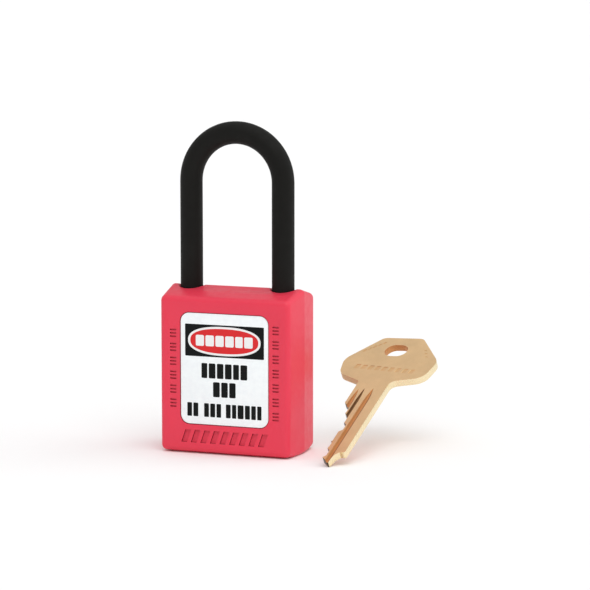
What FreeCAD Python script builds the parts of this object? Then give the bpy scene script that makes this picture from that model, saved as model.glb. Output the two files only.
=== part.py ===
import FreeCAD, Part
import math
import os
from FreeCAD import Vector as V

# Safety padlock, 38 mm wide, 44 mm tall body, 6 mm non-conductive shackle, with one cut key.
# Millimetres, +Z up, front of the lock facing -Y. Origin: centre of the foot of the body.

# --- body shell: two drafted halves that meet in a parting ridge at y = 0
RIDGE_HALF_W = 19.0
FACE_HALF_W = 18.2
HALF_T = 9.6
RIDGE_TOP = 44.0
FACE_TOP = 41.8
FACE_BOTTOM = 0.6
RIDGE_BOTTOM = -0.8
EDGE_R = 1.2
CAVITY_HX = 16.4
CAVITY_HY = 7.4
CAVITY_TOP = 40.0
CAVITY_R = 1.2

# --- label recess and label
LABEL_W = 24.7
LABEL_Z0 = 8.1
LABEL_Z1 = 37.7
LABEL_R = 2.4
LABEL_T = 0.2
LABEL_GAP = 0.22
RECESS = 0.3

# --- debossed marks beside and below the label
MARK_X = 14.5
MARK_W = 1.8
MARK_DASH = 0.42
MARK_PITCH = 0.9
MARK_DEPTH = 0.45
LEFT_MARKS = (13.4, 32.1, 6)
RIGHT_MARKS = (11.3, 34.1, 7)
BAR_Z = 4.75
BAR_H = 3.4
BAR_W = 1.6
BAR_COUNT = 9
BAR_SPAN = 23.4
BAR_LEAN = 1.2
BAR_DEPTH = 0.6

# --- shackle
LEG_X = 13.0
LEG_R = 3.0
ARCH_Z = 71.8
HEEL_END = 12.0
TOE_END = 33.0
LIFT = 11.3
LEG_BORE_R = 3.35
PLAY = 1.2

# --- latches: flat bars with a bevelled nose and a stud that hangs into the cam slot
LATCH_Z0 = 35.7
LATCH_Z1 = 38.9
LATCH_HY = 3.0
NOSE_E = 1.4
NOSE_BEVEL = 2.7
LATCH_TRAVEL = 4.2
STUD_R = 0.7
STUD_X = 5.6
STUD_Z0 = 32.3
NOSE_GAP = 0.3

# --- cylinder
PLUG_R = 5.8
PLUG_BORE_R = 5.85
PLUG_Z0 = 0.3
PLUG_Z1 = 30.2
FLANGE_R = 6.5
FLANGE_Z1 = 2.0
HOUSING_Z0 = 2.5
HOUSING_Z1 = 27.0
BARREL_R = 7.2
BIBLE_X = 14.9
BIBLE_HY = 3.4
PIN_R = 1.42
CHAMBER_R = 1.5
PIN_Z0 = 5.4
PIN_PITCH = 3.8
KEY_ROOTS = (3.0, 1.8, 0.7, 1.7, 1.5, 0.7)
DRIVER_X0 = 6.15
DRIVER_X1 = 9.3
CAP_X0 = 13.7
CAP_HY = 2.2
CLIP_Z0 = 27.25
CLIP_T = 0.8

# --- drive cam and chassis
CAM_R = 7.0
CAM_Z0 = 31.7
CAM_Z1 = 35.0
SLOT_HW = 0.8
CHASSIS_HX = 16.3
CHASSIS_HY = 7.3
CHASSIS_Z0 = 27.0
CHASSIS_Z1 = 35.3
CHASSIS_TOP = 40.0
RETAINER_Z = 29.5
RETAINER_X = -10.2
RETAINER_R = 0.9
GROOVE_DEPTH = 1.5

# --- key, drawn flat: x across (cuts on the -x side), y from the tip to the top of the bow
KEY_T = 1.9
GROOVE_T = 0.6
KEY_TOP = 56.8
KEY_SPINE = 4.0
KEY_EDGE = -5.2
KEY_SHOULDER = 28.0
CUT_FLAT = 1.1
NECK_Y = 34.0
KEY_HEADING = -5.5
KEY_PITCH = 26.6
KEY_ROLL = 3.0
KEY_AT = (30.3, -15.1)
KEYWAY_GAP = 0.12
KEY_GROOVES = ((-3.75, 1.2), (-2.1, 0.9), (0.45, 1.4))
GROOVE_END = 31.3
RING_SLOT_W = 6.6
RING_SLOT_H = 5.2
RING_SLOT_Y = 50.8


def box(x0, x1, y0, y1, z0, z1):
    """Axis-aligned block between two corners."""
    return Part.makeBox(x1 - x0, y1 - y0, z1 - z0, V(x0, y0, z0))


def cyl(r, x, y, z0, z1):
    """Upright cylinder."""
    return Part.makeCylinder(r, z1 - z0, V(x, y, z0))


def cyl_x(r, x0, x1, y, z):
    """Cylinder lying along X."""
    return Part.makeCylinder(r, x1 - x0, V(x0, y, z), V(1, 0, 0))


def prism(points, direction):
    """Straight extrusion of a closed polygon."""
    wire = Part.makePolygon(list(points) + [points[0]])
    return Part.Face(wire).extrude(direction)


def rounded_block(hx, hy, z0, z1, r):
    """Upright block centred on the origin with rounded vertical corners."""
    block = box(-hx, hx, -hy, hy, z0, z1)
    upright = [e for e in block.Edges if abs(e.Vertexes[0].Z - e.Vertexes[-1].Z) > 1]
    return block.makeFillet(r, upright)


def rounded_plate(cx, cz, w, h, r, y0, y1):
    """Plate facing Y with rounded corners."""
    plate = box(cx - w / 2, cx + w / 2, y0, y1, cz - h / 2, cz + h / 2)
    across = [e for e in plate.Edges if abs(e.Vertexes[0].Y - e.Vertexes[-1].Y) > 1e-6]
    return plate.makeFillet(r, across)


def union(shapes):
    """Fuse a list of solids into one clean solid."""
    first = shapes[0]
    return first.multiFuse(shapes[1:]).removeSplitter() if len(shapes) > 1 else first


def helix_spring(r, wire_r, length, turns):
    """Compression spring along +Z from the origin."""
    coil = Part.makeHelix((length - 2 * wire_r) / turns, length - 2 * wire_r, r)
    profile = Part.Wire(Part.makeCircle(wire_r, V(r, 0, 0), V(0, 1, 0)))
    spring = Part.Wire(coil).makePipeShell([profile], True, True)
    spring.translate(V(0, 0, wire_r))
    return spring


def body_half():
    """Front half of the outer body, y from -HALF_T to the parting plane."""
    side = [
        V(-40, 0, RIDGE_BOTTOM),
        V(-40, -HALF_T, FACE_BOTTOM),
        V(-40, -HALF_T, FACE_TOP),
        V(-40, 0, RIDGE_TOP),
    ]
    plan = [
        V(-RIDGE_HALF_W, 0, -9),
        V(-FACE_HALF_W, -HALF_T, -9),
        V(FACE_HALF_W, -HALF_T, -9),
        V(RIDGE_HALF_W, 0, -9),
    ]
    half = prism(side, V(80, 0, 0)).common(prism(plan, V(0, 0, 70)))
    outer = [e for e in half.Edges if max(abs(v.Y) for v in e.Vertexes) > 1e-6]
    return half.makeFillet(EDGE_R, outer)


def debossed_marks():
    """Cutters for the marks on the front face, at y = -HALF_T."""
    y0, y1 = -HALF_T - 1, -HALF_T + MARK_DEPTH
    cutters = []
    for x, (low, high, count) in ((-MARK_X, LEFT_MARKS), (MARK_X, RIGHT_MARKS)):
        for i in range(count):
            z = low + (high - low) * i / (count - 1)
            for step in (-1, 0, 1):
                dash_z = z + step * MARK_PITCH
                cutters.append(rounded_plate(x, dash_z, MARK_W, MARK_DASH, 0.2, y0, y1))
    for i in range(BAR_COUNT):
        x = -BAR_SPAN / 2 + BAR_W / 2 + (BAR_SPAN - BAR_W) * i / (BAR_COUNT - 1)
        low, high = BAR_Z - BAR_H / 2, BAR_Z + BAR_H / 2
        corners = [
            V(x - BAR_W / 2 - BAR_LEAN / 2, y0, low),
            V(x + BAR_W / 2 - BAR_LEAN / 2, y0, low),
            V(x + BAR_W / 2 + BAR_LEAN / 2, y0, high),
            V(x - BAR_W / 2 + BAR_LEAN / 2, y0, high),
        ]
        cutters.append(prism(corners, V(0, 1 + BAR_DEPTH, 0)))
    return cutters


def both_faces(shapes):
    """The shapes on the front, and the same turned half-way round for the rear."""
    turned = []
    for shape in shapes:
        copy = shape.copy()
        copy.rotate(V(0, 0, 0), V(0, 0, 1), 180)
        turned.append(copy)
    return shapes + turned


def make_body_shell():
    front = body_half()
    rear = front.mirror(V(0, 0, 0), V(0, 1, 0))
    outer = front.fuse(rear).removeSplitter()
    outer = outer.cut(box(-40, 40, -40, 40, -20, 0))
    cavity = rounded_block(CAVITY_HX, CAVITY_HY, -1, CAVITY_TOP, CAVITY_R)
    label_z = (LABEL_Z0 + LABEL_Z1) / 2
    recess = rounded_plate(
        0, label_z, LABEL_W + 2 * LABEL_GAP, LABEL_Z1 - LABEL_Z0 + 2 * LABEL_GAP,
        LABEL_R + LABEL_GAP, -HALF_T - 1, -HALF_T + RECESS,
    )
    cutters = [cavity] + both_faces([recess] + debossed_marks())
    for x in (-LEG_X, LEG_X):
        cutters.append(cyl(LEG_BORE_R, x, 0, CAVITY_TOP - 1, RIDGE_TOP + 1))
        rim = Part.makeCone(LEG_BORE_R, LEG_BORE_R + 1.2, 1.2, V(x, 0, RIDGE_TOP - 0.6))
        cutters.append(rim)
    return outer.cut(cutters)


def make_label():
    label_z = (LABEL_Z0 + LABEL_Z1) / 2
    y = -HALF_T + RECESS
    return rounded_plate(0, label_z, LABEL_W, LABEL_Z1 - LABEL_Z0, LABEL_R, y - LABEL_T, y)


def make_bottom_cover():
    cover = rounded_block(CAVITY_HX - 0.05, CAVITY_HY - 0.05, 0, HOUSING_Z0, CAVITY_R)
    return cover.cut(cyl(FLANGE_R + 0.4, 0, 0, -1, HOUSING_Z0 + 1))


def pin_heights():
    return [PIN_Z0 + PIN_PITCH * i for i in range(6)]


def make_cylinder_housing():
    barrel = cyl(BARREL_R, 0, 0, HOUSING_Z0, HOUSING_Z1)
    bible = box(0, BIBLE_X, -BIBLE_HY, BIBLE_HY, HOUSING_Z0, HOUSING_Z1)
    housing = barrel.fuse(bible).removeSplitter()
    cutters = [cyl(PLUG_BORE_R, 0, 0, 0, 40)]
    for z in pin_heights():
        cutters.append(cyl_x(CHAMBER_R, 4.0, CAP_X0 + 0.5, 0, z))
    cutters.append(box(CAP_X0, BIBLE_X + 1, -CAP_HY, CAP_HY, PIN_Z0 - 2, PIN_Z0 + 5 * PIN_PITCH + 2))
    return housing.cut(cutters)


def make_plug():
    plug = union([
        cyl(PLUG_R, 0, 0, PLUG_Z0, PLUG_Z1),
        cyl(FLANGE_R, 0, 0, PLUG_Z0, FLANGE_Z1),
    ])
    half = KEY_T / 2 + KEYWAY_GAP
    keyway = box(-KEY_SPINE - 0.2, 5.25, -half, half, PLUG_Z0 - 1, 28.5)
    for x, w in KEY_GROOVES:
        ward = w / 2 - KEYWAY_GAP
        keyway = keyway.cut(box(-x - ward, -x + ward, half - GROOVE_T, 2, PLUG_Z0 - 2, 29))
    groove = cyl(PLUG_R + 1, 0, 0, CLIP_Z0, CLIP_Z0 + CLIP_T)
    groove = groove.cut(cyl(PLUG_R - 0.8, 0, 0, CLIP_Z0 - 1, CLIP_Z0 + CLIP_T + 1))
    cutters = [keyway, groove, box(-4, 4, -1, 1, PLUG_Z1 - 1.4, PLUG_Z1 + 1)]
    for z in pin_heights():
        cutters.append(cyl_x(CHAMBER_R, 0.6, PLUG_R + 1, 0, z))
    return plug.cut(cutters)


def make_key_pin(z, root):
    """Bottom pin: pointed where it reads the key, trimmed to the plug's round."""
    body = cyl_x(PIN_R, root + 0.9, PLUG_R, 0, z)
    tip = Part.makeCone(0.5, PIN_R, 0.85, V(root + 0.05, 0, z), V(1, 0, 0))
    return body.fuse(tip).removeSplitter().common(cyl(PLUG_R - 0.25, 0, 0, z - 3, z + 3))


def make_driver_pin(z):
    pin = cyl_x(PIN_R, DRIVER_X0, DRIVER_X1, 0, z)
    ends = [e for e in pin.Edges if e.Closed]
    return pin.makeFillet(0.2, ends)


def make_pin_spring(z):
    spring = helix_spring(1.05, 0.18, CAP_X0 - DRIVER_X1, 5)
    spring.rotate(V(0, 0, 0), V(0, 1, 0), 90)
    spring.translate(V(DRIVER_X1, 0, z))
    return spring


def make_pin_cap():
    return box(
        CAP_X0, BIBLE_X, -CAP_HY, CAP_HY, PIN_Z0 - 2, PIN_Z0 + 5 * PIN_PITCH + 2
    )


def make_plug_clip():
    """Open ring that snaps into the groove behind the housing."""
    ring = cyl(PLUG_R + 0.8, 0, 0, CLIP_Z0, CLIP_Z0 + CLIP_T)
    ring = ring.cut(cyl(PLUG_R - 0.75, 0, 0, CLIP_Z0 - 1, CLIP_Z0 + CLIP_T + 1))
    return ring.cut(box(-10, 0, -2.5, 2.5, CLIP_Z0 - 1, CLIP_Z0 + CLIP_T + 1))


def spiral_slot():
    """Cutter whose centre line closes in by LATCH_TRAVEL over a quarter turn."""
    steps = 18
    quarter = math.radians(90)
    inner, outer = [], []
    for i in range(steps + 1):
        t = i / steps
        r = STUD_X - LATCH_TRAVEL * t
        a = -quarter * t
        centre = V(r * math.cos(a), r * math.sin(a), 0)
        tangent = V(
            -LATCH_TRAVEL * math.cos(a) + r * math.sin(a) * quarter,
            -LATCH_TRAVEL * math.sin(a) - r * math.cos(a) * quarter,
            0,
        ).normalize()
        side = V(-tangent.y, tangent.x, 0) * SLOT_HW
        inner.append(centre + side)
        outer.append(centre - side)
    first = V(STUD_X, 0, 0)
    last = V(0, -(STUD_X - LATCH_TRAVEL), 0)
    sides = []
    for line in (inner, outer):
        curve = Part.BSplineCurve()
        curve.interpolate(line)
        sides.append(curve.toShape())
    ends = [Part.makeLine(inner[0], outer[0]), Part.makeLine(inner[-1], outer[-1])]
    wire = Part.Wire(Part.__sortEdges__(sides + ends))
    slot = Part.Face(wire).extrude(V(0, 0, 10))
    caps = [cyl(SLOT_HW, p.x, p.y, 0, 10) for p in (first, last)]
    slot = slot.fuse(caps)
    slot.translate(V(0, 0, CAM_Z0 - 1))
    return slot


def make_drive_cam():
    cam = union([
        cyl(CAM_R, 0, 0, CAM_Z0, CAM_Z1),
        cyl(3.5, 0, 0, PLUG_Z1, CAM_Z0 + 0.4),
        box(-3.9, 3.9, -0.95, 0.95, PLUG_Z1 - 1.3, CAM_Z0 + 0.4).common(
            cyl(3.5, 0, 0, 20, 40)
        ),
    ])
    first = spiral_slot()
    second = first.copy()
    second.rotate(V(0, 0, 0), V(0, 0, 1), 180)
    floor = box(-9, 9, -9, 9, CAM_Z0 - 2, CAM_Z0 + 0.3)
    return cam.cut([first.cut(floor), second.cut(floor)])


def make_latch_right():
    bar = box(STUD_X - 1.1, LEG_X - LEG_R, -LATCH_HY, LATCH_HY, LATCH_Z0, LATCH_Z1)
    x0, x1 = LEG_X - LEG_R, LEG_X - LEG_R + NOSE_E
    nose = prism(
        [
            V(x0, -LATCH_HY, LATCH_Z0),
            V(x1, -LATCH_HY, LATCH_Z0 + NOSE_BEVEL),
            V(x1, -LATCH_HY, LATCH_Z1),
            V(x0, -LATCH_HY, LATCH_Z1),
        ],
        V(0, 2 * LATCH_HY, 0),
    )
    return union([bar, nose, cyl(STUD_R, STUD_X, 0, STUD_Z0, LATCH_Z0 + 0.5)])


def notch_right():
    """Cutter for the toe leg: flat floor, flat roof and a bevelled lower side."""
    slope = NOSE_BEVEL / NOSE_E
    face = LEG_X - LEG_R
    x0, x1 = face - 0.2, face + NOSE_E + NOSE_GAP
    low = LATCH_Z0 - PLAY
    return prism(
        [
            V(x0, -5, low - 0.2 * slope),
            V(x1, -5, low + (NOSE_E + NOSE_GAP) * slope),
            V(x1, -5, LATCH_Z1 + NOSE_GAP),
            V(x0, -5, LATCH_Z1 + NOSE_GAP),
        ],
        V(0, 10, 0),
    )


def make_shackle():
    arch = Part.makeTorus(LEG_X, LEG_R, V(0, 0, ARCH_Z), V(0, 1, 0))
    arch = arch.common(box(-30, 30, -10, 10, ARCH_Z, ARCH_Z + 30))
    legs = []
    for x, end in ((-LEG_X, HEEL_END), (LEG_X, TOE_END)):
        leg = cyl(LEG_R, x, 0, end, ARCH_Z)
        foot = [e for e in leg.Edges if e.Closed and abs(e.CenterOfMass.z - end) < 0.1]
        legs.append(leg.makeChamfer(0.7, foot))
    shackle = union([arch] + legs)
    right = notch_right()
    left = right.mirror(V(0, 0, 0), V(1, 0, 0))
    floor = -LEG_X + LEG_R - GROOVE_DEPTH
    groove = box(
        floor, 0, -5, 5, RETAINER_Z - RETAINER_R - LIFT - 0.4, RETAINER_Z + RETAINER_R + 0.4
    )
    return shackle.cut([right, left, groove])


def make_chassis_lower():
    block = rounded_block(CHASSIS_HX, CHASSIS_HY, CHASSIS_Z0, CHASSIS_Z1, CAVITY_R)
    cutters = [
        cyl(PLUG_R + 1.2, 0, 0, CHASSIS_Z0 - 1, CLIP_Z0 + CLIP_T + 0.5),
        cyl(PLUG_R + 0.3, 0, 0, CHASSIS_Z0 - 1, CHASSIS_Z1),
        cyl(CAM_R + 0.35, 0, 0, CAM_Z0 - 0.3, CHASSIS_Z1 + 1),
        box(-3.5, 3.5, -9, 9, CAM_Z0 - 0.3, CHASSIS_Z1 + 1),
        cyl(LEG_BORE_R, -LEG_X, 0, CHASSIS_Z0 - 1, CHASSIS_Z1 + 1),
        cyl(LEG_BORE_R, LEG_X, 0, CHASSIS_Z0 - 1, CHASSIS_Z1 + 1),
        Part.makeCylinder(RETAINER_R, 30, V(RETAINER_X, -15, RETAINER_Z), V(0, 1, 0)),
    ]
    return block.cut(cutters)


def make_chassis_upper():
    block = rounded_block(CHASSIS_HX, CHASSIS_HY, CHASSIS_Z1, CHASSIS_TOP, CAVITY_R)
    cutters = [box(-20, 20, -LATCH_HY - 0.3, LATCH_HY + 0.3, CHASSIS_Z1 - 1, LATCH_Z1 + 0.3)]
    for x in (-LEG_X, LEG_X):
        cutters.append(cyl(LEG_BORE_R, x, 0, CHASSIS_Z1 - 1, CHASSIS_TOP + 1))
    return block.cut(cutters)


def make_retainer_pin():
    return Part.makeCylinder(
        RETAINER_R - 0.02, 2 * CHASSIS_HY, V(RETAINER_X, -CHASSIS_HY, RETAINER_Z), V(0, 1, 0)
    )


def make_shackle_spring():
    spring = helix_spring(2.0, 0.35, HEEL_END - HOUSING_Z0, 5)
    spring.translate(V(-LEG_X, 0, HOUSING_Z0))
    return spring


def rounded_wire(corners, z):
    """Closed wire through (x, y, radius) corners; a corner of radius 0 stays sharp."""
    count = len(corners)
    starts, ends, edges = [], [], []
    for i in range(count):
        here = V(corners[i][0], corners[i][1], z)
        before = (V(*corners[i - 1][:2], z) - here).normalize()
        after = (V(*corners[(i + 1) % count][:2], z) - here).normalize()
        radius = corners[i][2]
        half = before.getAngle(after) / 2
        reach = radius / math.tan(half)
        start, end = here + before * reach, here + after * reach
        middle = here + (before + after).normalize() * (radius / math.sin(half) - radius)
        if radius > 0:
            edges.append(Part.Arc(start, middle, end).toShape())
        starts.append(start)
        ends.append(end)
    for i in range(count):
        edges.append(Part.makeLine(ends[i], starts[(i + 1) % count]))
    return Part.Wire(Part.__sortEdges__(edges))


def bow_outline():
    """Six-sided rounded bow and the neck that carries it."""
    return [
        (KEY_SPINE, NECK_Y - 1, 0), (KEY_SPINE, 36.5, 2.4), (12.8, 38.6, 4.0),
        (14.2, 46.3, 4.5), (5.9, KEY_TOP, 2.2), (-5.9, KEY_TOP, 2.2), (-13.9, 46.3, 4.5),
        (-12.6, 39.7, 3.8), (KEY_EDGE, 36.4, 1.2), (KEY_EDGE, NECK_Y - 1, 0),
    ]


def blade_outline():
    """Straight spine on +x, six cuts on -x and a notched tip."""
    corners = [(KEY_SPINE, 4.2, 0.5), (KEY_SPINE, NECK_Y, 0), (KEY_EDGE, NECK_Y, 0)]
    half = PIN_PITCH / 2
    for i, root in enumerate(KEY_ROOTS):
        y = KEY_SHOULDER + PLUG_Z0 - PIN_Z0 - PIN_PITCH * i
        if i == 0:
            corners.append((KEY_EDGE, y + CUT_FLAT - KEY_EDGE - root, 0.3))
        corners += [(-root, y + CUT_FLAT, 0.15), (-root, y - CUT_FLAT, 0.15)]
        following = KEY_ROOTS[i + 1] if i < 5 else root
        crest = (root + following) / 2 + half - CUT_FLAT
        corners.append((-crest, y - CUT_FLAT - (crest - root), 0.1))
    corners += [(0.8, 0.0, 0.3), (1.5, 3.0, 0.5), (2.6, 4.5, 0.5)]
    return corners


def make_key():
    half = KEY_T / 2
    bow = Part.Face(rounded_wire(bow_outline(), -half)).extrude(V(0, 0, KEY_T))
    rim = [
        e for e in bow.Edges
        if abs(abs(e.CenterOfMass.z) - half) < 1e-6 and e.CenterOfMass.y > NECK_Y
    ]
    bow = bow.makeFillet(0.3, rim)
    blade = Part.Face(rounded_wire(blade_outline(), -half)).extrude(V(0, 0, KEY_T))
    key = bow.fuse(blade).removeSplitter()
    slot = box(
        -RING_SLOT_W / 2 + RING_SLOT_H / 2, RING_SLOT_W / 2 - RING_SLOT_H / 2,
        RING_SLOT_Y - RING_SLOT_H / 2, RING_SLOT_Y + RING_SLOT_H / 2, -5, 5,
    )
    ends = [
        cyl(RING_SLOT_H / 2, s * (RING_SLOT_W - RING_SLOT_H) / 2, RING_SLOT_Y, -5, 5)
        for s in (-1, 1)
    ]
    grooves = []
    floor_z = half - GROOVE_T
    for x, w in KEY_GROOVES:
        cut = box(x - w / 2, x + w / 2, -1, GROOVE_END, floor_z, KEY_T)
        ramp = prism(
            [
                V(x - w / 2, GROOVE_END, floor_z),
                V(x - w / 2, GROOVE_END + 4.5, KEY_T),
                V(x - w / 2, GROOVE_END, KEY_T),
            ],
            V(w, 0, 0),
        )
        grooves += [cut, ramp]
    key = key.cut([slot] + ends + grooves)
    key.rotate(V(0, 0, 0), V(0, 1, 0), -KEY_ROLL)
    key.rotate(V(0, 0, 0), V(1, 0, 0), KEY_PITCH)
    key.rotate(V(0, 0, 0), V(0, 0, 1), KEY_HEADING)
    key.translate(V(KEY_AT[0], KEY_AT[1], 0))
    key.translate(V(0, 0, -key.optimalBoundingBox(False).ZMin))
    return key


def main():
    os.makedirs("parts", exist_ok=True)
    label = make_label()
    latch = make_latch_right()
    parts = {
        "body_shell": make_body_shell(),
        "bottom_cover": make_bottom_cover(),
        "label_front": both_faces([label])[0],
        "label_rear": both_faces([label])[1],
        "cylinder_housing": make_cylinder_housing(),
        "pin_cap": make_pin_cap(),
        "chassis_lower": make_chassis_lower(),
        "chassis_upper": make_chassis_upper(),
        "retainer_pin": make_retainer_pin(),
        "shackle_spring": make_shackle_spring(),
        "plug": make_plug(),
        "plug_clip": make_plug_clip(),
        "drive_cam": make_drive_cam(),
        "latch_right": latch,
        "latch_left": latch.copy(),
        "shackle": make_shackle(),
        "key": make_key(),
    }
    parts["latch_left"].rotate(V(0, 0, 0), V(0, 0, 1), 180)
    for i, z in enumerate(pin_heights()):
        parts[f"key_pin_{i + 1}"] = make_key_pin(z, KEY_ROOTS[i])
        parts[f"driver_pin_{i + 1}"] = make_driver_pin(z)
        parts[f"pin_spring_{i + 1}"] = make_pin_spring(z)
    for name, shape in parts.items():
        if len(shape.Solids) == 1:
            shape = shape.Solids[0]
        ok = shape.isValid()
        print(f"{name:18s} solids={len(shape.Solids)} valid={ok} volume={shape.Volume:.1f}")
        shape.exportStep(f"parts/{name}.step")


main()
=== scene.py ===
import bmesh
import bpy
import math
from mathutils import Matrix, Vector


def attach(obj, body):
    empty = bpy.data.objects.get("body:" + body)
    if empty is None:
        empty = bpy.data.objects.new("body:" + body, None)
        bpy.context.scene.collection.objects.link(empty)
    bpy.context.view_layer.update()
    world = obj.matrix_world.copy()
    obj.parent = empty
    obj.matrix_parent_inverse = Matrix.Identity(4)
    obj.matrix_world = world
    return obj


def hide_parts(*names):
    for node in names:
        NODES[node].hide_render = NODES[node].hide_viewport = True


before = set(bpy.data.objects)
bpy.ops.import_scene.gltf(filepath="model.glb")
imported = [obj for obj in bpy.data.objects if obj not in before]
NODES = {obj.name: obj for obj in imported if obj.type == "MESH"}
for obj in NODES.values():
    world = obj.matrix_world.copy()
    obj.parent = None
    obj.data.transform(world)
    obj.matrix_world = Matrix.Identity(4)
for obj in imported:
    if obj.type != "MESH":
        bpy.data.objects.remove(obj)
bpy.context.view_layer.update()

# Looks of the safety padlock. Shapes are made in millimetres and scaled to metres when they become
# objects. The front of the lock faces -Y and its foot stands at z = 0.
MM = 0.001

# ---------------------------------------------------------------- dimensions, mm
# Body: widest at the ridge half way through its depth, drafted in towards both faces
RIDGE_HALF_W, FACE_HALF_W, HALF_T = 19.0, 18.2, 9.6
RIDGE_TOP, FACE_TOP, FACE_BOTTOM, RIDGE_BOTTOM = 44.0, 41.8, 0.6, -0.8
EDGE_R, EDGE_STEPS = 1.2, 7
CORNER_EXTRA = 0.25
BODY_STATIONS = (-6.8, -5.4, -3.0, -0.03, 0.0)
CAVITY_HX, CAVITY_HY, CAVITY_TOP, CAVITY_R = 16.4, 7.4, 40.0, 1.2
SHELL_BEVEL = 0.07
# Shackle
LEG_X, LEG_R, ARCH_Z, HEEL_END, TOE_END = 13.0, 3.0, 71.8, 12.0, 33.0
LEG_END_R = 0.7
LEG_BORE_R = 3.35
BORE_PROFILE = (
    (LEG_BORE_R, CAVITY_TOP - 1.0), (LEG_BORE_R, RIDGE_TOP - 0.62),
    (LEG_BORE_R + 0.12, RIDGE_TOP - 0.36), (LEG_BORE_R + 0.42, RIDGE_TOP - 0.10),
    (LEG_BORE_R + 1.1, RIDGE_TOP + 0.45),
)
HEEL_LEVELS, TOE_LEVELS = (20.0, 30.0, 40.0, 50.0, 60.0), (60.0, 50.0, 42.0)
NOTCH_LOW, NOTCH_TOP, NOTCH_SLOPE, NOTCH_DEPTH, NOTCH_LEAD = 34.5, 39.2, 2.7 / 1.4, 1.7, 0.2
HEEL_GROOVE = ((-11.5, 16.9), (-9.0, 16.9), (-9.0, 30.8), (-11.5, 30.8))
SHACKLE_BEVEL = 0.12
# Label and the pocket it lies in
LABEL_W, LABEL_Z0, LABEL_Z1, LABEL_R, LABEL_T = 24.7, 8.1, 37.7, 2.4, 0.2
LABEL_GAP, RECESS = 0.22, 0.3
LABEL_Z, LABEL_H = (LABEL_Z0 + LABEL_Z1) / 2, LABEL_Z1 - LABEL_Z0
LABEL_FACE_Y = -HALF_T + RECESS - LABEL_T
LABEL_EDGE = ((0.0, LABEL_T), (0.0, 0.05), (0.015, 0.015), (0.06, 0.0))  # inset, depth below face
# How far each layer of ink stands proud of the film, and how far it reaches into it
BAND_PROUD, LINES_PROUD, RING_PROUD, OVAL_PROUD, WORD_PROUD = 0.012, 0.014, 0.020, 0.028, 0.036
INK_SINK = 0.005
# Heights in the print: the heading and its band, the two large lines and the smaller one
BAND_Z, LINE_1_Z, LINE_2_Z, LINE_3_Z = 30.5, 22.5, 17.55, 11.95
HEADING_TYPE, LARGE_TYPE, SMALL_TYPE = (2.9, 0.42), (4.0, 0.42), (3.65, 0.38)  # height, gap
# Debossed marks beside the label (lowest z, highest z, count) and bars under it
MARK_X, MARK_W, MARK_DASH, MARK_PITCH, MARK_DEPTH = 14.5, 1.8, 0.42, 0.9, 0.45
LEFT_MARKS, RIGHT_MARKS = (13.4, 32.1, 6), (11.3, 34.1, 7)
BAR_Z, BAR_H, BAR_W, BAR_COUNT = 4.75, 3.4, 1.6, 9
BAR_SPAN, BAR_LEAN, BAR_DEPTH = 23.4, 1.2, 0.6
# Key: drawn flat, tip at y = 0 and spine on the +X side, then tilted and put beside the lock
KEY_T, KEY_TOP, KEY_SPINE, KEY_EDGE = 1.9, 56.8, 4.0, -5.2
KEY_ROOTS = (3.0, 1.8, 0.7, 1.7, 1.5, 0.7)
KEY_FIRST_CUT, CUT_PITCH, CUT_FLAT = 22.9, 3.8, 1.1
KEY_INSET, KEY_BEVEL = 0.1, 0.13
KEY_HEADING, KEY_TILT, KEY_ROLL = -5.5, 26.6, 3.0
KEY_AT = (30.3, -15.1)
KEY_GROOVES = ((-3.75, 1.3, 32.6), (-2.1, 1.0, 33.0), (0.45, 1.5, 33.0))  # x, width, run-out y
GROOVE_DEPTH, GROOVE_START = 0.60, -2.0
GROOVE_FADE = ((-5.5, 1.0), (-3.2, 0.80), (-1.4, 0.42), (0.0, 0.02))  # offset from run-out, share
RING_SLOT_W, RING_SLOT_H, RING_SLOT_Y = 6.6, 5.2, 50.8
STAMP_DEPTH = 0.10
# Where the key's painted shade, painted dark reflection and painted highlight change: groove tops,
# spine side, last cut, tip and ring hole
GROOVES_TOP, GROOVES_SIDE, CUTS_TOP, CUTS_SIDE = 33.4, 1.8, 27.2, 0.8
SPINE_FROM, TIP_TOP, RING_REACH = 3.0, 4.4, 3.6
MIDDLE_GROOVE = (-2.7, -1.5)


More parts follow.
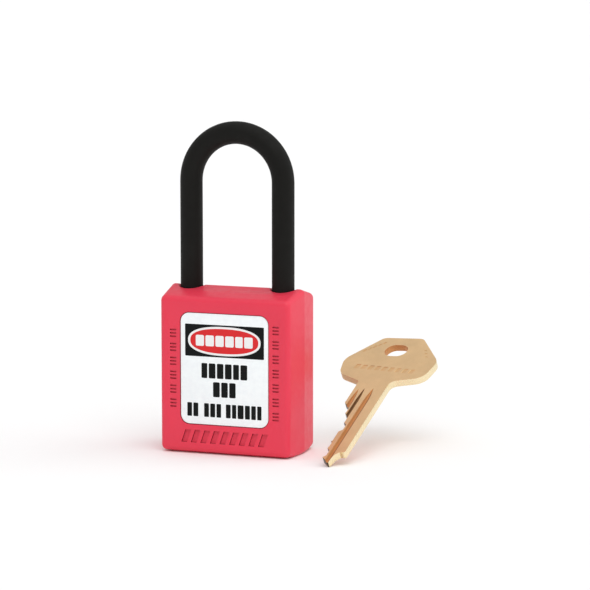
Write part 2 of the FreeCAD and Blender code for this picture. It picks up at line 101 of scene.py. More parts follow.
# ---------------------------------------------------------------- materials
class Maker:
    """Wires one procedural Principled material."""

    def __init__(self, name, color, roughness, metallic=0.0, **sockets):
        self.mat = bpy.data.materials.new(name)
        self.mat.use_nodes = True
        self.tree = self.mat.node_tree
        self.bsdf = self.tree.nodes["Principled BSDF"]
        self.bsdf.inputs["Base Color"].default_value = (*color, 1.0)
        self.bsdf.inputs["Roughness"].default_value = roughness
        self.bsdf.inputs["Metallic"].default_value = metallic
        for key, value in sockets.items():
            self.bsdf.inputs[key.replace("_", " ")].default_value = value
        self.coords = self.tree.nodes.new("ShaderNodeTexCoord").outputs["Object"]
        self.height = None

    def link(self, out_socket, in_socket):
        self.tree.links.new(out_socket, in_socket)

    def stretched(self, scale):
        """Object coordinates with another scale along each axis."""
        node = self.tree.nodes.new("ShaderNodeMapping")
        node.inputs["Scale"].default_value = scale
        self.link(self.coords, node.inputs["Vector"])
        return node.outputs["Vector"]

    def noise(self, scale, detail, rough=0.55, vector=None):
        """Noise from 0 to 1; scale counts its features per metre."""
        node = self.tree.nodes.new("ShaderNodeTexNoise")
        node.inputs["Scale"].default_value = scale
        node.inputs["Detail"].default_value = detail
        node.inputs["Roughness"].default_value = rough
        self.link(vector or self.coords, node.inputs["Vector"])
        return node.outputs["Fac"]

    def color_ramp(self, fac, stops):
        """Base color from fac through (position, color) stops."""
        node = self.tree.nodes.new("ShaderNodeValToRGB")
        ramp = node.color_ramp
        ramp.elements[0].position, ramp.elements[0].color = stops[0][0], (*stops[0][1], 1)
        ramp.elements[1].position, ramp.elements[1].color = stops[-1][0], (*stops[-1][1], 1)
        for at, color in stops[1:-1]:
            ramp.elements.new(at).color = (*color, 1)
        self.link(fac, node.inputs["Fac"])
        self.link(node.outputs["Color"], self.bsdf.inputs["Base Color"])

    def map_range(self, fac, low, high, from_low=0.3, from_high=0.7):
        """fac from from_low to from_high becomes a value from low to high."""
        node = self.tree.nodes.new("ShaderNodeMapRange")
        node.inputs["From Min"].default_value = from_low
        node.inputs["From Max"].default_value = from_high
        node.inputs["To Min"].default_value = low
        node.inputs["To Max"].default_value = high
        self.link(fac, node.inputs["Value"])
        return node.outputs["Result"]

    def roughness_range(self, fac, low, high):
        """Roughness between low and high by fac."""
        self.link(self.map_range(fac, low, high), self.bsdf.inputs["Roughness"])

    def bump(self, fac, distance, strength=1.0):
        """Adds one layer of relief, in metres, on top of those before it."""
        node = self.tree.nodes.new("ShaderNodeBump")
        node.inputs["Distance"].default_value = distance
        node.inputs["Strength"].default_value = strength
        self.link(fac, node.inputs["Height"])
        if self.height is not None:
            self.link(self.height, node.inputs["Normal"])
        self.height = node.outputs["Normal"]
        self.link(self.height, self.bsdf.inputs["Normal"])

    def seam(self, axis, width, depth):
        """Thin raised mould parting line on the plane where the given coordinate is zero."""
        split = self.tree.nodes.new("ShaderNodeSeparateXYZ")
        self.link(self.coords, split.inputs["Vector"])
        size = self.tree.nodes.new("ShaderNodeMath")
        size.operation = "ABSOLUTE"
        self.link(split.outputs[axis], size.inputs[0])
        self.bump(self.map_range(size.outputs[0], 1.0, 0.0, 0.0, width), depth)


def shade(color, k):
    """The color k times as bright."""
    return tuple(min(1.0, c * k) for c in color)


def moulded(name, color, roughness, spread, **sockets):
    """Injection-moulded plastic: faint flow clouds, fine spark-eroded grain, a few scuffs."""
    grain_depth = 0.000012
    m = Maker(name, color, roughness, **sockets)
    m.color_ramp(m.noise(scale=55.0, detail=4.0), [
        (0.30, shade(color, 1 - spread)), (0.52, color), (0.74, shade(color, 1 + spread)),
    ])
    scuffs = m.noise(scale=420.0, detail=5.0, rough=0.6)
    m.roughness_range(scuffs, roughness - 0.06, roughness + 0.07)
    m.bump(m.noise(scale=9000.0, detail=2.0), grain_depth, strength=0.35)
    m.bump(m.noise(scale=900.0, detail=3.0), grain_depth * 2.2, strength=0.25)
    return m.mat


# Scales of the scratch noise: even, or drawn out along one axis
EVEN, ALONG_Y = (1.0, 1.0, 1.0), (1.0, 0.35, 1.0)
LONG_Y, ALONG_Z = (1.0, 0.06, 1.0), (1.0, 1.0, 0.1)


def metal(name, color, roughness, brush=EVEN, spread=0.08, metallic=1.0):
    """Bare metal: brushed or tumbled micro-scratches and slight tarnish."""
    scratch_depth = 0.000006
    m = Maker(name, color, roughness, metallic)
    m.color_ramp(m.noise(scale=180.0, detail=5.0, rough=0.6), [
        (0.25, shade(color, 1 - spread)), (0.55, color), (0.8, shade(color, 1 + spread)),
    ])
    brushed = m.noise(scale=2600.0, detail=4.0, rough=0.6, vector=m.stretched(brush))
    m.roughness_range(brushed, roughness - 0.08, roughness + 0.10)
    m.bump(brushed, scratch_depth, strength=0.5)
    return m.mat


def ink(name, color, roughness=0.5, specular=0.12):
    """Screen-printed ink: slight density change and a fine dot-like surface."""
    m = Maker(name, color, roughness, Specular_IOR_Level=specular)
    m.color_ramp(m.noise(scale=700.0, detail=3.0), [
        (0.3, shade(color, 0.97)), (0.7, shade(color, 1.03)),
    ])
    m.roughness_range(m.noise(scale=1500.0, detail=2.0), roughness - 0.04, roughness + 0.05)
    m.bump(m.noise(scale=5200.0, detail=2.0), 0.000006, strength=0.3)
    return m.mat


def nylon(name):
    """Black moulded nylon with the parting line of its mould along the shackle."""
    m = Maker(name, (0.0070, 0.0067, 0.0058), 0.58, Specular_IOR_Level=0.13)
    m.color_ramp(m.noise(scale=60.0, detail=4.0), [
        (0.30, (0.0058, 0.0055, 0.0046)), (0.70, (0.0084, 0.0080, 0.0070)),
    ])
    m.roughness_range(m.noise(scale=500.0, detail=5.0, rough=0.6), 0.50, 0.66)
    m.bump(m.noise(scale=5200.0, detail=2.0), 0.000018, strength=0.5)
    m.seam("Y", width=0.00016, depth=0.00003)
    return m.mat


RED = (0.790, 0.0420, 0.083)
MAT = {
    "body": moulded("coral_moulded", RED, 0.42, 0.025, Specular_IOR_Level=0.34,
                    Subsurface_Weight=0.06, Subsurface_Scale=0.0008),
    # Darker copy of the body red: painted shade on the walls of the debossed marks and in the
    # label's gap.
    "recess_painted_shade": moulded("coral_recess_painted_shade", shade(RED, 0.42), 0.55, 0.05, Specular_IOR_Level=0.25),
    "cover": moulded("coral_cover", shade(RED, 0.9), 0.48, 0.05),
    "nylon": nylon("black_nylon"),
    "chassis": moulded("glass_filled_nylon", (0.02, 0.02, 0.021), 0.55, 0.2),
    "film": ink("label_film", (0.925, 0.965, 0.985), 0.36, 0.35),
    "ink_black": ink("ink_black", (0.0060, 0.0072, 0.0072), 0.5, 0.10),
    "ink_red": ink("ink_red", (0.70, 0.030, 0.034)),
    "ink_white": ink("ink_white", (0.88, 0.88, 0.88)),
    "brass": metal("cylinder_brass", (0.64, 0.46, 0.20), 0.34),
    "plug": metal("plug_brass", (0.70, 0.52, 0.24), 0.28),
    "pin": metal("pin_brass", (0.74, 0.57, 0.28), 0.25),
    "steel": metal("zinc_steel", (0.56, 0.57, 0.58), 0.30),
    "key": metal("key_brass", (0.700, 0.482, 0.252), 0.44, ALONG_Y, 0.09, metallic=0.45),
    # Darker, more orange brass for the groove floors and the ring hole: painted shade.
    "key_groove_painted_shade": metal("key_groove_brass_painted_shade", (0.62, 0.29, 0.105), 0.42, LONG_Y, 0.10, metallic=0.45),
    # Near-black brass for the steep groove walls and the middle groove: painted shade.
    "key_wall_painted_shade": metal("key_wall_brass_painted_shade", (0.24, 0.12, 0.045), 0.40, LONG_Y, 0.15, metallic=0.45),
    # Near-black brass for the flanks of the cuts: a painted dark reflection.
    "key_flank_painted_dark_reflection": metal("key_flank_brass_painted_dark_reflection", (0.09, 0.060, 0.034), 0.32, ALONG_Z, 0.25),
    # Darker brass for the floors of the stamped dashes: painted shade.
    "key_stamp_painted_shade": metal("key_stamp_brass_painted_shade", (0.68, 0.43, 0.205), 0.42, EVEN, 0.10, metallic=0.5),
    # Pale, glossier brass for the spine and tip edges: painted highlight.
    "key_edge_painted_highlight": metal("key_edge_brass_painted_highlight", (0.90, 0.76, 0.49), 0.28, ALONG_Z, 0.04, metallic=0.8),
}
KEY_LOOKS = ("key", "key_groove_painted_shade", "key_wall_painted_shade", "key_flank_painted_dark_reflection", "key_edge_painted_highlight", "key_stamp_painted_shade")


def dress(obj, *looks):
    """Gives an object these materials and no others."""
    obj.data.materials.clear()
    for look in looks:
        obj.data.materials.append(MAT[look])


NODE_LOOK = {
    "bottom_cover": "cover", "cylinder_housing": "brass", "pin_cap": "brass",
    "chassis_lower": "chassis", "chassis_upper": "chassis", "retainer_pin": "steel",
    "shackle_spring": "steel", "plug": "plug", "plug_clip": "steel", "drive_cam": "steel",
    "latch_left": "steel", "latch_right": "steel", "body_shell": "body",
    "shackle": "nylon", "label_front": "film", "label_rear": "film", "key": "key",
}
for number in range(1, 7):
    NODE_LOOK[f"key_pin_{number}"] = "pin"
    NODE_LOOK[f"driver_pin_{number}"] = "steel"
    NODE_LOOK[f"pin_spring_{number}"] = "steel"
for node_name, node_look in NODE_LOOK.items():
    dress(NODES[node_name], node_look)


# ---------------------------------------------------------------- mesh helpers
def new_object(name, bm, look=None):
    """Turns a bmesh in millimetres into an object in metres."""
    bmesh.ops.scale(bm, vec=(MM, MM, MM), verts=bm.verts)
    mesh = bpy.data.meshes.new(name)
    bm.to_mesh(mesh)
    bm.free()
    obj = bpy.data.objects.new(name, mesh)
    bpy.context.scene.collection.objects.link(obj)
    if look:
        mesh.materials.append(MAT[look])
    return obj


def bake(obj):
    """Replaces the mesh by its evaluated form and drops the modifiers."""
    bpy.context.view_layer.update()
    dg = bpy.context.evaluated_depsgraph_get()
    mesh = bpy.data.meshes.new_from_object(obj.evaluated_get(dg))
    obj.modifiers.clear()
    old = obj.data
    obj.data = mesh
    bpy.data.meshes.remove(old)
    mesh.name = obj.name


def cut(obj, tools):
    """Cuts all the tools, bmeshes in millimetres, out of obj in one go."""
    bm = bmesh.new()
    for tool in tools:
        mesh = bpy.data.meshes.new("tool")
        tool.to_mesh(mesh)
        tool.free()
        bm.from_mesh(mesh)
        bpy.data.meshes.remove(mesh)
    cutter = new_object("cutter", bm)
    mod = obj.modifiers.new("cut", "BOOLEAN")
    mod.operation, mod.solver, mod.object = "DIFFERENCE", "EXACT", cutter
    mod.use_self = True
    bake(obj)
    bpy.data.objects.remove(cutter)


def bevel(obj, width_mm, angle_deg):
    """Rounds the edges that are sharper than angle_deg."""
    mod = obj.modifiers.new("bevel", "BEVEL")
    mod.width, mod.segments = width_mm * MM, 2
    mod.limit_method, mod.angle_limit = "ANGLE", math.radians(angle_deg)


def finish_mesh(obj, crease_deg=30.0):
    """Bakes the modifiers in and shades smooth with sharp creases."""
    bake(obj)
    obj.data.shade_smooth()
    obj.data.set_sharp_from_angle(angle=math.radians(crease_deg))


def bridge(bm, rings):
    """Skins a list of equal rings of points with quads, with flat ends."""
    made = [[bm.verts.new(p) for p in ring] for ring in rings]
    count = len(made[0])
    for a, b in zip(made, made[1:]):
        for i in range(count):
            j = (i + 1) % count
            bm.faces.new((a[i], a[j], b[j], b[i]))
    bm.faces.new(list(reversed(made[0])))
    bm.faces.new(made[-1])
    bmesh.ops.recalc_face_normals(bm, faces=bm.faces)


def skinned(rings):
    """bmesh of one skin over a list of rings."""
    bm = bmesh.new()
    bridge(bm, rings)
    return bm


def prisms_y(outlines, y0, y1):
    """bmesh of XZ outlines, each extruded along Y."""
    bm = bmesh.new()
    for outline in outlines:
        bridge(bm, [[(x, y, z) for x, z in outline] for y in (y0, y1)])
    return bm


def prisms_z(outlines, z0, z1):
    """bmesh of XY outlines, each extruded along Z."""
    bm = bmesh.new()
    for outline in outlines:
        bridge(bm, [[(x, y, z) for x, y in outline] for z in (z0, z1)])
    return bm


def turned(profile, x, segments=48):
    """bmesh of a closed solid of revolution about a vertical axis at x; profile is (r, z)."""
    angles = [2 * math.pi * i / segments for i in range(segments)]
    return skinned([
        [(x + r * math.cos(a), r * math.sin(a), z) for a in angles] for r, z in profile
    ])


def spin(bm, angle):
    """Turns a bmesh about the lock's vertical axis."""
    bmesh.ops.transform(bm, matrix=Matrix.Rotation(angle, 4, "Z"), verts=bm.verts)


def rounded_rect(w, h, r, segments=8, cx=0.0, cz=0.0):
    """Corner points of a rounded rectangle about (cx, cz), counter-clockwise."""
    points = []
    for k, (sx, sy) in enumerate(((1, 1), (-1, 1), (-1, -1), (1, -1))):
        for i in range(segments + 1):
            a = math.radians(90 * k + 90 * i / segments)
            x = sx * (w / 2 - r) + r * math.cos(a)
            z = sy * (h / 2 - r) + r * math.sin(a)
            points.append((cx + x, cz + z))
    return points


def spaced(low, high, count):
    """count values from low to high."""
    return [low + (high - low) * i / (count - 1) for i in range(count)]


# ---------------------------------------------------------------- body shell
def shell_section(y, inset, corner_r):
    """One XZ ring of the drafted body at depth y."""
    share = abs(y) / HALF_T
    hw = RIDGE_HALF_W + (FACE_HALF_W - RIDGE_HALF_W) * share - inset
    top = RIDGE_TOP + (FACE_TOP - RIDGE_TOP) * share - inset
    low = max(0.0, RIDGE_BOTTOM + (FACE_BOTTOM - RIDGE_BOTTOM) * share + inset)
    ring = rounded_rect(2 * hw, top - low, corner_r, segments=7)
    return [(x, y, z + (top + low) / 2) for x, z in ring]


def shell_stations():
    """(depth y, inset, corner radius) of each section of the body, from front to rear."""
    stations = []
    for i in range(EDGE_STEPS, -1, -1):
        a = math.radians(90 * i / EDGE_STEPS)
        depth = HALF_T - EDGE_R + EDGE_R * math.sin(a)
        stations.append((-depth, EDGE_R * (1 - math.cos(a)), EDGE_R * math.cos(a) + CORNER_EXTRA))
    stations += [(y, 0.0, EDGE_R + CORNER_EXTRA) for y in BODY_STATIONS]
    return stations + [(-y, inset, r) for y, inset, r in reversed(stations[:-1])]


def face_tools():
    """What is sunk into the front face: the label's pocket, the marks beside it and the bars."""
    outside = -HALF_T - 1.0
    pocket = rounded_rect(
        LABEL_W + 2 * LABEL_GAP, LABEL_H + 2 * LABEL_GAP, LABEL_R + LABEL_GAP, cz=LABEL_Z)
    dashes = []
    for x, marks in ((-MARK_X, LEFT_MARKS), (MARK_X, RIGHT_MARKS)):
        for z in spaced(*marks):
            for step in (-1, 0, 1):
                dashes.append(rounded_rect(MARK_W, MARK_DASH, 0.2, 4, x, z + step * MARK_PITCH))
    half, lean, hh = BAR_W / 2, BAR_LEAN / 2, BAR_H / 2
    corners = ((half + lean, hh), (-half + lean, hh), (-half - lean, -hh), (half - lean, -hh))
    bars = []
    for i in range(BAR_COUNT):
        x = -BAR_SPAN / 2 + BAR_W / 2 + (BAR_SPAN - BAR_W) * i / (BAR_COUNT - 1)
        bars.append([(x + dx, BAR_Z + dz) for dx, dz in corners])
    return [
        prisms_y([pocket], outside, -HALF_T + RECESS),
        prisms_y(dashes, outside, -HALF_T + MARK_DEPTH),
        prisms_y(bars, outside, -HALF_T + BAR_DEPTH),
    ]


def gets_painted_shade(face):
    """Whether a face gets the painted shade: a wall of a debossed mark or pocket, or the floor of
    the label's gap.
    """
    x, y, z = (c / MM for c in face.center)
    depth = HALF_T - abs(y)
    panel = abs(x) < FACE_HALF_W - EDGE_R - 0.1 and BAR_Z - BAR_H / 2 - 0.1 < z < LABEL_Z1 + 0.5
    wall = 0.06 < depth < BAR_DEPTH + 0.01 and abs(face.normal.y) < 0.8
    under_label = abs(x) < LABEL_W / 2 + 0.3 and LABEL_Z0 - 0.3 < z < LABEL_Z1 + 0.3
    return panel and (wall or (under_label and abs(depth - RECESS) < 0.02))


def make_shell():
    """Hollow body with its bores for the shackle and both faces' recesses."""
    sections = [shell_section(*station) for station in shell_stations()]
    shell = new_object("shell_moulding", skinned(sections), "body")
    cavity = rounded_rect(2 * CAVITY_HX, 2 * CAVITY_HY, CAVITY_R, 5)
    tools = [prisms_z([cavity], -1.0, CAVITY_TOP)]
    tools += [turned(BORE_PROFILE, x) for x in (-LEG_X, LEG_X)]
    for turn in (0.0, math.pi):
        for tool in face_tools():
            spin(tool, turn)
            tools.append(tool)
    cut(shell, tools)
    bevel(shell, SHELL_BEVEL, 38.0)
    finish_mesh(shell)
    dress(shell, "body", "recess_painted_shade")
    # Walls of the debossed marks and the floor of the label's gap take the darker red, which is
    # painted shade.
    for face in shell.data.polygons:
        if gets_painted_shade(face):
            face.material_index = 1
    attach(shell, "case")
    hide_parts("body_shell")


# ---------------------------------------------------------------- shackle
def shackle_stations(arc_steps=44):
    """(centre, direction to the other leg, radius) from the heel up, over and down to the toe."""
    thin = LEG_R - LEG_END_R
    heel = [(HEEL_END, thin), (HEEL_END + LEG_END_R, LEG_R)]
    heel += [(z, LEG_R) for z in HEEL_LEVELS]
    toe = [(z, LEG_R) for z in TOE_LEVELS]
    toe += [(TOE_END + LEG_END_R, LEG_R), (TOE_END, thin)]
    arch = []
    for i in range(arc_steps + 1):
        a = math.pi - math.pi * i / arc_steps
        out = Vector((math.cos(a), 0, math.sin(a)))
        arch.append((Vector((0, 0, ARCH_Z)) + out * LEG_X, -out, LEG_R))
    return (
        [(Vector((-LEG_X, 0, z)), Vector((1, 0, 0)), r) for z, r in heel] + arch
        + [(Vector((LEG_X, 0, z)), Vector((-1, 0, 0)), r) for z, r in toe]
    )


def make_shackle(sides=40):
    """Shackle with a latch notch in each leg and the retainer's groove in the heel leg."""
    angles = [2 * math.pi * k / sides for k in range(sides)]
    rings = []
    for centre, inward, r in shackle_stations():
        rings.append([
            centre + inward * (r * math.cos(a)) + Vector((0, r * math.sin(a), 0)) for a in angles
        ])
    shackle = new_object("shackle_bow", skinned(rings), "nylon")
    outside, inside = LEG_X - LEG_R - NOTCH_LEAD, LEG_X - LEG_R + NOTCH_DEPTH
    notch = [
        (outside, NOTCH_LOW - NOTCH_LEAD * NOTCH_SLOPE),
        (inside, NOTCH_LOW + NOTCH_DEPTH * NOTCH_SLOPE),
        (inside, NOTCH_TOP), (outside, NOTCH_TOP),
    ]
    cut(shackle, [prisms_y([notch, [(-x, z) for x, z in notch], HEEL_GROOVE], -5.0, 5.0)])
    bevel(shackle, SHACKLE_BEVEL, 32.0)
    finish_mesh(shackle, 32.0)
    dress(shackle, "nylon")
    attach(shackle, "shackle")
    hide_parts("shackle")


# ---------------------------------------------------------------- labels
def oval(a, b, points=96, power=0.84):
    """Slightly squared ellipse about the band's middle."""
    outline = []
    for i in range(points):
        c, s = math.cos(2 * math.pi * i / points), math.sin(2 * math.pi * i / points)
        x, z = a * math.copysign(abs(c) ** power, c), b * math.copysign(abs(s) ** power, s)
        outline.append((x, BAND_Z + z))
    return outline


def blocks(widths, type_size, cx, cz):
    """Outlines of a word-like row of plain blocks about (cx, cz)."""
    height, gap = type_size
    x = cx - (sum(widths) + gap * (len(widths) - 1)) / 2
    row = []
    for w in widths:
        row.append(rounded_rect(w, height, min(w, height) * 0.16, 3, x + w / 2, cz))
        x += w + gap
    return row


def label_piece(name, bm, look, turn, node=None):
    """Finishes a piece of the label, made on the front, on the side that turn spins it to."""
    spin(bm, turn)
    obj = new_object(name, bm, look)
    finish_mesh(obj)
    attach(obj, "case")
    if node:
        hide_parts(node)


# Heading: a word in an oval with a ring, on a band. Below it two large lines and a smaller one.
LABEL_PRINT = (
    ("band", BAND_PROUD, "ink_black", [rounded_rect(22.3, 8.56, 0.25, 4, 0.05, BAND_Z)]),
    ("ring", RING_PROUD, "ink_white", [oval(10.25, 3.86)]),
    ("oval", OVAL_PROUD, "ink_red", [oval(9.62, 3.30)]),
    ("word", WORD_PROUD, "ink_white",
        blocks((2.35, 2.4, 2.35, 2.4, 2.1, 2.4), HEADING_TYPE, 0.0, BAND_Z)),
    ("lines", LINES_PROUD, "ink_black", (
        blocks((1.65, 1.9, 1.85, 1.9, 1.65, 1.9), LARGE_TYPE, 0.0, LINE_1_Z)
        + blocks((1.9, 1.85, 1.8), LARGE_TYPE, 0.0, LINE_2_Z)
        + blocks((1.35, 1.4), SMALL_TYPE, -9.0, LINE_3_Z)
        + blocks((1.35, 1.4, 1.3), SMALL_TYPE, -3.35, LINE_3_Z)
        + blocks((1.35, 1.2, 1.7, 1.4, 1.3, 1.2), SMALL_TYPE, 5.45, LINE_3_Z)
    )),
)


def make_label(side, node, turn):
    """Film with rounded edges, and the print on it as pieces of their own."""
    rings = []
    for inset, depth in LABEL_EDGE:
        w, h = LABEL_W - 2 * inset, LABEL_H - 2 * inset
        outline = rounded_rect(w, h, LABEL_R - inset, 10, cz=LABEL_Z)
        rings.append([(x, LABEL_FACE_Y + depth, z) for x, z in outline])
    label_piece(f"{side}_label_film", skinned(rings), "film", turn, node)
    for name, proud, look, outlines in LABEL_PRINT:
        print_bm = prisms_y(outlines, LABEL_FACE_Y - proud, LABEL_FACE_Y + INK_SINK)
        label_piece(f"{side}_label_{name}", print_bm, look, turn)


# ---------------------------------------------------------------- key
def rounded_corners(corners, steps=6):
    """Polygon points through (x, y, radius) corners, each rounded by its own radius."""
    points = []
    count = len(corners)
    for i in range(count):
        here = Vector(corners[i][:2])
        before = (Vector(corners[i - 1][:2]) - here).normalized()
        after = (Vector(corners[(i + 1) % count][:2]) - here).normalized()
        radius = corners[i][2]
        half = before.angle(after) / 2
        start = here + before * (radius / math.tan(half))
        centre = here + (before + after).normalized() * (radius / math.sin(half))
        end = here + after * (radius / math.tan(half))
        first, last = start - centre, end - centre
        sweep = first.angle_signed(last)
        for k in range(steps + 1):
            a = -sweep * k / steps
            arm = Vector((
                first.x * math.cos(a) - first.y * math.sin(a),
                first.x * math.sin(a) + first.y * math.cos(a),
            ))
            points.append(tuple(centre + arm))
    return points


def key_corners():
    """(x, y, radius) round the key: spine, bow, the six cuts from bow to tip, and the tip."""
    corners = [
        (KEY_SPINE, 4.2, 0.5), (KEY_SPINE, 36.5, 2.4), (12.8, 38.6, 4.0), (14.2, 46.3, 4.5),
        (5.9, KEY_TOP, 2.2), (-5.9, KEY_TOP, 2.2), (-13.9, 46.3, 4.5), (-12.6, 39.7, 3.8),
        (KEY_EDGE, 36.4, 1.2),
        (KEY_EDGE, KEY_FIRST_CUT + CUT_FLAT - KEY_EDGE - KEY_ROOTS[0], 0.3),
    ]
    for i, root in enumerate(KEY_ROOTS):
        y = KEY_FIRST_CUT - CUT_PITCH * i
        following = KEY_ROOTS[min(i + 1, len(KEY_ROOTS) - 1)]
        crest = (root + following) / 2 + CUT_PITCH / 2 - CUT_FLAT
        corners += [
            (-root, y + CUT_FLAT, 0.15), (-root, y - CUT_FLAT, 0.15),
            (-crest, y - CUT_FLAT - (crest - root), 0.1),
        ]
    return corners + [(0.8, 0.0, 0.3), (1.5, 3.0, 0.5), (2.6, 4.5, 0.5)]


def groove_cutter(x, width, run_out):
    """Milled groove with leaning walls; it rises out of the blade in a point."""
    top, left_share, right_share = KEY_T / 2, 0.80, 0.08
    above = top + 0.4
    stations = [(GROOVE_START, 1.0)] + [(run_out + offset, share) for offset, share in GROOVE_FADE]
    rings = []
    for y, share in stations:
        wide = width / 2 * max(share, 0.05)
        floor = top - GROOVE_DEPTH * share
        rings.append([
            (x - wide * left_share, y, floor), (x + wide * right_share, y, floor),
            (x + wide, y, top), (x + wide, y, above), (x - wide, y, above), (x - wide, y, top),
        ])
    return skinned(rings)


def bow_marks():
    """Outlines of the shallow plain dashes where a blank carries its stamping."""
    marks = [(-8.6 + 2.1 * i, 43.0 - 0.22 * i, 1.3, 1.8, 0.35) for i in range(9)]
    marks += [(-9.6 + 1.15 * i, 50.4 + 0.95 * i, 0.55, 1.0, 0.5) for i in range(5)]
    marks += [(8.6 + 0.7 * i, 51.2 - 1.5 * i, 0.9, 0.4, 0.0) for i in range(3)]
    return [
        [
            (x - w / 2, y - h / 2), (x + w / 2, y - h / 2),
            (x + w / 2 + lean, y + h / 2), (x - w / 2 + lean, y + h / 2),
        ]
        for x, y, w, h, lean in marks
    ]


def ring_slot(points=48):
    """Outline of the hole for the key ring: two half circles joined by straights."""
    reach, r = (RING_SLOT_W - RING_SLOT_H) / 2, RING_SLOT_H / 2
    outline = []
    for i in range(points):
        a = 2 * math.pi * i / points
        side = reach if math.cos(a) > 0 else -reach
        outline.append((side + r * math.cos(a), RING_SLOT_Y + r * math.sin(a)))
    return outline


def key_look(face):
    """The look of a face of the flat key, from where it lies and how it faces; every look but the
    plain brass is painted light.
    """
    x, y, z = (c / MM for c in face.center)
    below, facing = KEY_T / 2 - z, face.normal.z
    sunk = below > 0.03 and facing > 0.1
    # Groove floors get a darker, more orange brass, and the steep walls and the middle groove get a
    # near-black one: painted shade.
    if sunk and below < 0.75 and y < GROOVES_TOP and x < GROOVES_SIDE:
        steep_wall = face.normal.x < -0.3
        in_middle = MIDDLE_GROOVE[0] < x < MIDDLE_GROOVE[1]
        return "key_wall_painted_shade" if steep_wall or in_middle else "key_groove_painted_shade"
    # Wall of the ring hole: darker, more orange brass as painted shade.
    if abs(facing) < 0.5 and math.hypot(x, y - RING_SLOT_Y) < RING_REACH:
        return "key_groove_painted_shade"
    # Flanks of the cuts: near-black brass as a painted dark reflection.
    if abs(facing) < 0.8 and y < CUTS_TOP and x < CUTS_SIDE:
        return "key_flank_painted_dark_reflection"
    # Thickness faces along the spine and at the tip: pale brass as a painted highlight.
    if abs(facing) < 0.95 and (x > SPINE_FROM or y < TIP_TOP) and below > 0.005:
        return "key_edge_painted_highlight"
    # Floors of the shallow stamped dashes: darker brass as painted shade.
    if sunk and below < 0.3:
        return "key_stamp_painted_shade"
    return "key"


def make_key():
    """Key, cut and dressed while it is flat, then leaned into its place beside the lock."""
    shrink, middle = 1.0 - 2.0 * KEY_INSET / KEY_TOP, KEY_TOP / 2
    outline = [
        (x * shrink, middle + (y - middle) * shrink) for x, y in rounded_corners(key_corners())
    ]
    key = new_object("key_blank", prisms_z([outline], -KEY_T / 2, KEY_T / 2), "key")
    cut(key, [
        prisms_z([ring_slot()], -3.0, 3.0),
        *(groove_cutter(*groove) for groove in KEY_GROOVES),
        prisms_z(bow_marks(), KEY_T / 2 - STAMP_DEPTH, KEY_T),
    ])
    bevel(key, KEY_BEVEL, 40.0)
    finish_mesh(key, 32.0)
    dress(key, *KEY_LOOKS)
    mesh = key.data
    for face in mesh.polygons:
        face.use_smooth = abs(face.normal.z) < 0.999
        # Each face takes its look from key_look, including the painted shade, dark reflection and
        # highlight.
        face.material_index = KEY_LOOKS.index(key_look(face))
    mesh.transform(Matrix.Rotation(math.radians(-KEY_ROLL), 4, "Y"))
    mesh.transform(Matrix.Rotation(math.radians(KEY_TILT), 4, "X"))
    mesh.transform(Matrix.Rotation(math.radians(KEY_HEADING), 4, "Z"))
    lowest = min(v.co.z for v in mesh.vertices)
    mesh.transform(Matrix.Translation((KEY_AT[0] * MM, KEY_AT[1] * MM, -lowest)))
    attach(key, "key")
    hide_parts("key")


# ---------------------------------------------------------------- build
make_shell()
make_shackle()
make_label("front", "label_front", 0.0)
make_label("rear", "label_rear", math.pi)
make_key()


# ---------------------------------------------------------------- floor, light, camera
def make_floor(half_mm=6000.0):
    """Plain white floor."""
    bm = bmesh.new()
    bmesh.ops.create_grid(bm, x_segments=2, y_segments=2, size=half_mm)
    floor = new_object("studio_floor", bm)
    m = Maker("studio_floor", (0.97, 0.97, 0.97), 0.8, Specular_IOR_Level=0.1)
    m.color_ramp(m.noise(scale=3.0, detail=2.0), [
        (0.3, (0.965, 0.965, 0.965)), (0.7, (0.975, 0.975, 0.975)),
    ])
    floor.data.materials.append(m.mat)


def sun(name, azimuth, elevation, strength, angle):
    """Soft white sun; azimuth runs from the front of the lock towards its right-hand side."""
    light = bpy.data.lights.new(name, "SUN")
    light.energy, light.angle = strength, math.radians(angle)
    az, el = math.radians(azimuth), math.radians(elevation)
    towards = Vector((math.sin(az) * math.cos(el), -math.cos(az) * math.cos(el), math.sin(el)))
    obj = bpy.data.objects.new(name, light)
    obj.rotation_euler = towards.to_track_quat("Z", "Y").to_euler()
    bpy.context.scene.collection.objects.link(obj)


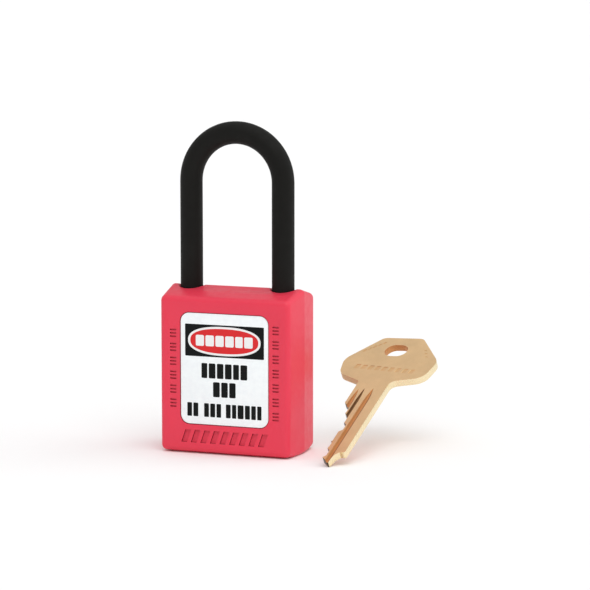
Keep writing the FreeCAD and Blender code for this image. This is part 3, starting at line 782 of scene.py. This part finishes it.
def make_world(background, reflected, ambient):
    """White room: one strength where it is seen, one where it is mirrored, one where it lights."""
    world = bpy.data.worlds.new("studio")
    world.use_nodes = True
    tree = world.node_tree
    white = tree.nodes["Background"]
    white.inputs["Color"].default_value = (1.0, 1.0, 1.0, 1.0)
    path = tree.nodes.new("ShaderNodeLightPath")
    seen = tree.nodes.new("ShaderNodeMapRange")
    seen.inputs["To Min"].default_value, seen.inputs["To Max"].default_value = reflected, background
    tree.links.new(path.outputs["Is Camera Ray"], seen.inputs["Value"])
    lit = tree.nodes.new("ShaderNodeMapRange")
    lit.inputs["To Max"].default_value = ambient
    tree.links.new(path.outputs["Is Diffuse Ray"], lit.inputs["Value"])
    tree.links.new(seen.outputs["Result"], lit.inputs["To Min"])
    tree.links.new(lit.outputs["Result"], white.inputs["Strength"])
    bpy.context.scene.world = world


def make_camera():
    """Long lens, 21.6 degrees to the right of square-on and 7.7 degrees above."""
    az, el = math.radians(21.58), math.radians(7.67)
    distance, target_z = 782.2, 44.0
    focal_px, frame_px, sensor_mm = 2950.4, 590.0, 36.0
    target_px, middle_px = (237.35, 286.04), frame_px / 2  # where the target shows in the frame
    look = Vector((-math.sin(az) * math.cos(el), math.cos(az) * math.cos(el), -math.sin(el)))
    right = Vector((math.cos(az), math.sin(az), 0.0))
    up = right.cross(look)
    eye = Vector((0.0, 0.0, target_z)) - look * distance
    across, down = (middle_px - target_px[0]) / focal_px, (middle_px - target_px[1]) / focal_px
    aim = look + right * across - up * down
    data = bpy.data.cameras.new("camera")
    data.sensor_width = sensor_mm
    data.lens = focal_px * sensor_mm / frame_px
    data.clip_start, data.clip_end = 0.01, 20.0
    cam = bpy.data.objects.new("camera", data)
    cam.location = eye * MM
    cam.rotation_euler = aim.to_track_quat("-Z", "Y").to_euler()
    bpy.context.scene.collection.objects.link(cam)
    bpy.context.scene.camera = cam


make_floor()
make_world(background=1.0, reflected=0.64, ambient=0.60)
sun("key_sun", azimuth=30.0, elevation=52.0, strength=0.92, angle=50.0)
sun("rear_right_sun", azimuth=110.0, elevation=32.0, strength=0.65, angle=60.0)
sun("top_sun", azimuth=0.0, elevation=90.0, strength=0.40, angle=70.0)
make_camera()
bpy.context.scene.view_settings.view_transform = "Standard"
bpy.context.scene.view_settings.look = "None"
